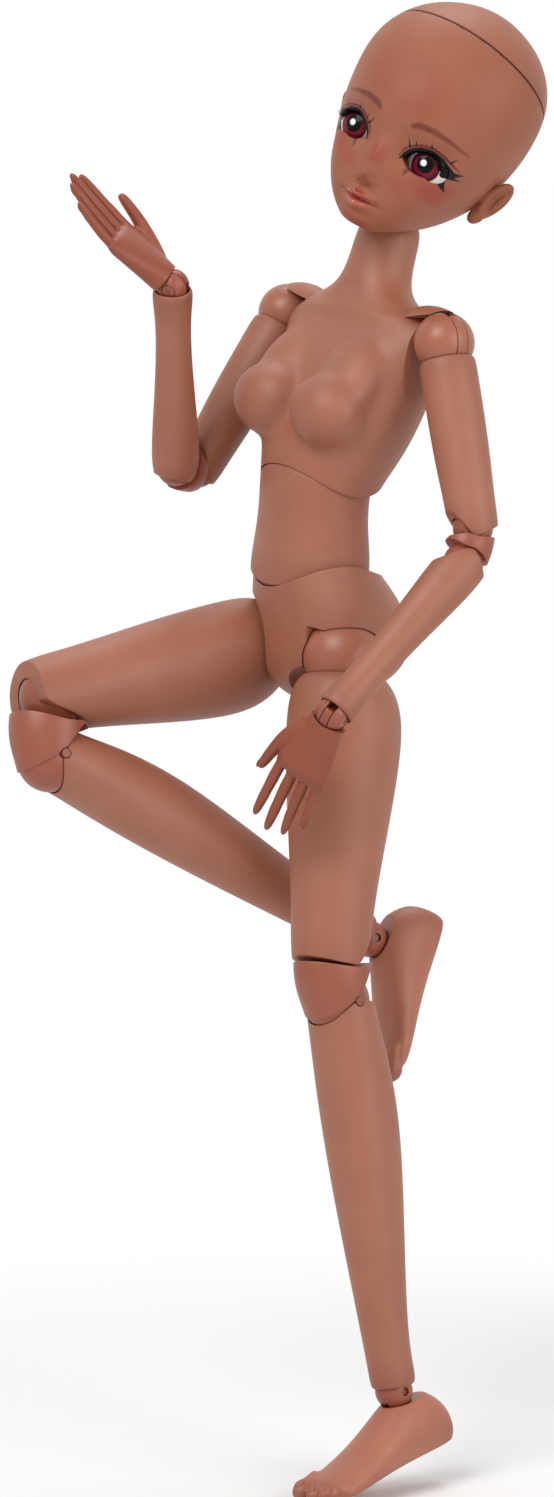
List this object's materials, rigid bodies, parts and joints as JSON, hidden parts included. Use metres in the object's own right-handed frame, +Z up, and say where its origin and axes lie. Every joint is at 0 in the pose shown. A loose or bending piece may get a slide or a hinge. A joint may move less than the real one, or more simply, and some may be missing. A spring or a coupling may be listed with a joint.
{
  "type": "ball jointed doll",
  "caption": "Ball jointed doll of hollow plastic shells on slotted ball joints, posable from neck and waist to wrists and ankles, with set-in eyes and a removable head cap.",
  "frame": {"origin": "under the crotch, where a stand's saddle carries the pelvis", "axes": "+Z up the spine, -Y ahead of the doll, +X to its own left side"},
  "size_m": [0.1431, 0.2097, 0.5636],
  "materials": {
    "shell": "satin, warm brown, cast in colour",
    "joint_plastic": "smooth, a little glossier and redder",
    "skin": "satin, painted blush and face",
    "inner_plastic": "smooth moulded",
    "steel": "turned pin",
    "eye": "clear, wet gloss",
    "lash": "fine black fibre"
  },
  "bodies": {
    "pelvis": {"pelvis": "shell"},
    "waist_core": {"waist_post": "inner_plastic", "waist_pin": "steel"},
    "belly": {"abdomen": "shell"},
    "chest_cup": {"chest_cup": "inner_plastic"},
    "chest": {"chest": "shell"},
    "neck_core": {"neck_post": "inner_plastic", "neck_pin": "steel"},
    "neck_cup": {"neck_cup": "inner_plastic"},
    "head": {"head": "skin", "head_cap": "skin", "cap_magnet": "steel", "eye_left": "eye", "eyelashes_left": "lash", "eye_right": "eye", "eyelashes_right": "lash"},
    "shoulder_ball_left": {"shoulder_ball_left": "joint_plastic", "shoulder_pin_left": "steel"},
    "shoulder_tab_left": {"shoulder_tab_left": "joint_plastic"},
    "upper_arm_left": {"upper_arm_left": "shell", "elbow_upper_pin_left": "steel"},
    "elbow_left": {"elbow_left": "joint_plastic", "elbow_lower_pin_left": "steel"},
    "forearm_left": {"forearm_left": "shell"},
    "wrist_ball_left": {"wrist_ball_left": "joint_plastic", "wrist_pin_left": "joint_plastic"},
    "hand_left": {"hand_left": "skin"},
    "shoulder_ball_right": {"shoulder_ball_right": "joint_plastic", "shoulder_pin_right": "steel"},
    "shoulder_tab_right": {"shoulder_tab_right": "joint_plastic"},
    "upper_arm_right": {"upper_arm_right": "shell", "elbow_upper_pin_right": "steel"},
    "elbow_right": {"elbow_right": "joint_plastic", "elbow_lower_pin_right": "steel"},
    "forearm_right": {"forearm_right": "shell"},
    "wrist_ball_right": {"wrist_ball_right": "joint_plastic", "wrist_pin_right": "joint_plastic"},
    "hand_right": {"hand_right": "skin"},
    "hip_ball_left": {"hip_ball_left": "joint_plastic", "hip_pin_left": "steel"},
    "hip_tab_left": {"hip_tab_left": "inner_plastic"},
    "thigh_left": {"thigh_left": "shell", "knee_upper_pin_left": "steel"},
    "knee_left": {"knee_left": "joint_plastic", "knee_lower_pin_left": "steel"},
    "shin_left": {"shin_left": "shell"},
    "ankle_ball_left": {"ankle_ball_left": "joint_plastic", "ankle_pin_left": "steel"},
    "foot_left": {"foot_left": "skin"},
    "hip_ball_right": {"hip_ball_right": "joint_plastic", "hip_pin_right": "steel"},
    "hip_tab_right": {"hip_tab_right": "inner_plastic"},
    "thigh_right": {"thigh_right": "shell", "knee_upper_pin_right": "steel"},
    "knee_right": {"knee_right": "joint_plastic", "knee_lower_pin_right": "steel"},
    "shin_right": {"shin_right": "shell"},
    "ankle_ball_right": {"ankle_ball_right": "joint_plastic", "ankle_pin_right": "steel"},
    "foot_right": {"foot_right": "skin"}
  },
  "joints": [
    {"name": "waist_turn", "type": "hinge", "parent": "pelvis", "child": "waist_core", "pos_m": [0.00258, 0.00018, 0.07197], "axis": [0.0514, 0.0436, 0.9977], "range_deg": [-24, 9]},
    {"name": "waist_bend", "type": "hinge", "parent": "waist_core", "child": "belly", "pos_m": [0.00258, 0.00018, 0.07197], "axis": [0.9726, 0.2247, -0.0599], "range_deg": [-6, 5]},
    {"name": "chest_bend", "type": "hinge", "parent": "belly", "child": "chest_cup", "pos_m": [0.00258, 0.00018, 0.07197], "axis": [0.9726, 0.2247, -0.0599], "range_deg": [-6, 5]},
    {"name": "chest_tilt", "type": "hinge", "parent": "chest_cup", "child": "chest", "pos_m": [0.00258, 0.00018, 0.07197], "axis": [-0.2321, 0.9546, -0.1866], "range_deg": [-9, 8]},
    {"name": "neck_turn", "type": "hinge", "parent": "chest", "child": "neck_core", "pos_m": [0.00494, 0.03266, 0.1923], "axis": [0.034, 0.1996, 0.9793], "range_deg": [-58, 24]},
    {"name": "head_nod", "type": "hinge", "parent": "neck_core", "child": "neck_cup", "pos_m": [0.00494, 0.03266, 0.1923], "axis": [0.733, 0.6611, -0.1602], "range_deg": [-11, 4]},
    {"name": "head_tilt", "type": "hinge", "parent": "neck_cup", "child": "head", "pos_m": [0.00494, 0.03266, 0.1923], "axis": [-0.6762, 0.7338, -0.0656], "range_deg": [-26, 3]},
    {"name": "shoulder_swing_left", "type": "hinge", "parent": "chest", "child": "shoulder_ball_left", "pos_m": [0.05149, 0.03067, 0.14034], "axis": [0.9721, 0.2209, -0.0788], "range_deg": [-95, 2]},
    {"name": "shoulder_raise_left", "type": "hinge", "parent": "shoulder_ball_left", "child": "shoulder_tab_left", "pos_m": [0.05149, 0.03067, 0.14034], "axis": [-0.2248, 0.9735, -0.0432], "range_deg": [-75, 11]},
    {"name": "arm_twist_left", "type": "hinge", "parent": "shoulder_tab_left", "child": "upper_arm_left", "pos_m": [0.05149, 0.03067, 0.14034], "axis": [-0.2938, -0.0254, 0.9555], "range_deg": [-8, 85]},
    {"name": "elbow_upper_left", "type": "hinge", "parent": "upper_arm_left", "child": "elbow_left", "pos_m": [0.07258, 0.0325, 0.07173], "axis": [0.9373, -0.2035, 0.2828], "range_deg": [-40, 22]},
    {"name": "elbow_lower_left", "type": "hinge", "parent": "elbow_left", "child": "forearm_left", "pos_m": [0.0752, 0.0273, 0.05933], "axis": [0.9373, -0.2035, 0.2828], "range_deg": [-40, 22]},
    {"name": "wrist_turn_left", "type": "hinge", "parent": "forearm_left", "child": "wrist_ball_left", "pos_m": [0.07938, -0.02852, 0.00529], "axis": [-0.0538, 0.7174, 0.6946], "range_deg": [-55, 55]},
    {"name": "wrist_bend_left", "type": "hinge", "parent": "wrist_ball_left", "child": "hand_left", "pos_m": [0.07938, -0.02852, 0.00529], "axis": [0.6481, 0.5543, -0.5222], "range_deg": [-75, 6]},
    {"name": "shoulder_swing_right", "type": "hinge", "parent": "chest", "child": "shoulder_ball_right", "pos_m": [-0.04358, 0.00907, 0.14804], "axis": [0.9721, 0.2209, -0.0788], "range_deg": [-70, 38]},
    {"name": "shoulder_raise_right", "type": "hinge", "parent": "shoulder_ball_right", "child": "shoulder_tab_right", "pos_m": [-0.04358, 0.00907, 0.14804], "axis": [-0.2265, 0.7968, -0.5601], "range_deg": [-2, 75]},
    {"name": "arm_twist_right", "type": "hinge", "parent": "shoulder_tab_right", "child": "upper_arm_right", "pos_m": [-0.04358, 0.00907, 0.14804], "axis": [-0.0576, 0.5631, 0.8244], "range_deg": [-55, 42]},
    {"name": "elbow_upper_right", "type": "hinge", "parent": "upper_arm_right", "child": "elbow_right", "pos_m": [-0.03945, -0.03137, 0.08886], "axis": [0.8511, 0.4593, -0.2543], "range_deg": [-2, 62]},
    {"name": "elbow_lower_right", "type": "hinge", "parent": "elbow_right", "child": "forearm_right", "pos_m": [-0.03265, -0.04318, 0.09027], "axis": [0.8511, 0.4593, -0.2543], "range_deg": [-2, 62]},
    {"name": "wrist_turn_right", "type": "hinge", "parent": "forearm_right", "child": "wrist_ball_right", "pos_m": [-0.00402, -0.05691, 0.1613], "axis": [-0.368, 0.1765, -0.9129], "range_deg": [-55, 55]},
    {"name": "wrist_bend_right", "type": "hinge", "parent": "wrist_ball_right", "child": "hand_right", "pos_m": [-0.00402, -0.05691, 0.1613], "axis": [0.6883, -0.6085, -0.395], "range_deg": [-85, 0.5]},
    {"name": "hip_swing_left", "type": "hinge", "parent": "pelvis", "child": "hip_ball_left", "pos_m": [0.02667, 0, 0.02063], "axis": [0.9987, 0, -0.0515], "range_deg": [-11, 14]},
    {"name": "hip_raise_left", "type": "hinge", "parent": "hip_ball_left", "child": "hip_tab_left", "pos_m": [0.02667, 0, 0.02063], "axis": [-0.0059, 0.9934, -0.1148], "range_deg": [-28, 4]},
    {"name": "leg_twist_left", "type": "hinge", "parent": "hip_tab_left", "child": "thigh_left", "pos_m": [0.02667, 0, 0.02063], "axis": [-0.1628, 0.1123, 0.9802], "range_deg": [-32, 18]},
    {"name": "knee_upper_left", "type": "hinge", "parent": "thigh_left", "child": "knee_left", "pos_m": [0.04413, -0.01205, -0.08456], "axis": [0.9559, 0.2641, 0.1285], "range_deg": [-5, 24]},
    {"name": "knee_lower_left", "type": "hinge", "parent": "knee_left", "child": "shin_left", "pos_m": [0.04736, -0.01204, -0.10854], "axis": [0.9559, 0.2641, 0.1285], "range_deg": [-5, 36]},
    {"name": "ankle_turn_left", "type": "hinge", "parent": "shin_left", "child": "ankle_ball_left", "pos_m": [0.06266, 0.00493, -0.25729], "axis": [-0.1017, -0.1128, 0.9884], "range_deg": [-24, 24]},
    {"name": "ankle_bend_left", "type": "hinge", "parent": "ankle_ball_left", "child": "foot_left", "pos_m": [0.06266, 0.00493, -0.25729], "axis": [0.9637, 0.2355, 0.126], "range_deg": [-20, 16]},
    {"name": "hip_swing_right", "type": "hinge", "parent": "pelvis", "child": "hip_ball_right", "pos_m": [-0.02667, 0, 0.02337], "axis": [0.9987, 0, -0.0515], "range_deg": [-4, 76]},
    {"name": "hip_raise_right", "type": "hinge", "parent": "hip_ball_right", "child": "hip_tab_right", "pos_m": [-0.02667, 0, 0.02337], "axis": [-0.0508, 0.1564, -0.9864], "range_deg": [0, 33]},
    {"name": "leg_twist_right", "type": "hinge", "parent": "hip_tab_right", "child": "thigh_right", "pos_m": [-0.02667, 0, 0.02337], "axis": [-0.1552, 0.9744, 0.1625], "range_deg": [-4, 33]},
    {"name": "knee_upper_right", "type": "hinge", "parent": "thigh_right", "child": "knee_right", "pos_m": [-0.01001, -0.10456, 0.00593], "axis": [0.954, 0.1051, 0.2808], "range_deg": [-66, 1]},
    {"name": "knee_lower_right", "type": "hinge", "parent": "knee_right", "child": "shin_right", "pos_m": [-0.00288, -0.1084, -0.01687], "axis": [0.954, 0.1051, 0.2808], "range_deg": [-9, 1]},
    {"name": "ankle_turn_right", "type": "hinge", "parent": "shin_right", "child": "ankle_ball_right", "pos_m": [0.00513, 0.02138, -0.09266], "axis": [-0.0533, -0.8623, 0.5036], "range_deg": [-18, 22]},
    {"name": "ankle_bend_right", "type": "hinge", "parent": "ankle_ball_right", "child": "foot_right", "pos_m": [0.00513, 0.02138, -0.09266], "axis": [0.9779, 0.0571, 0.2012], "range_deg": [-16, 20]}
  ]
}
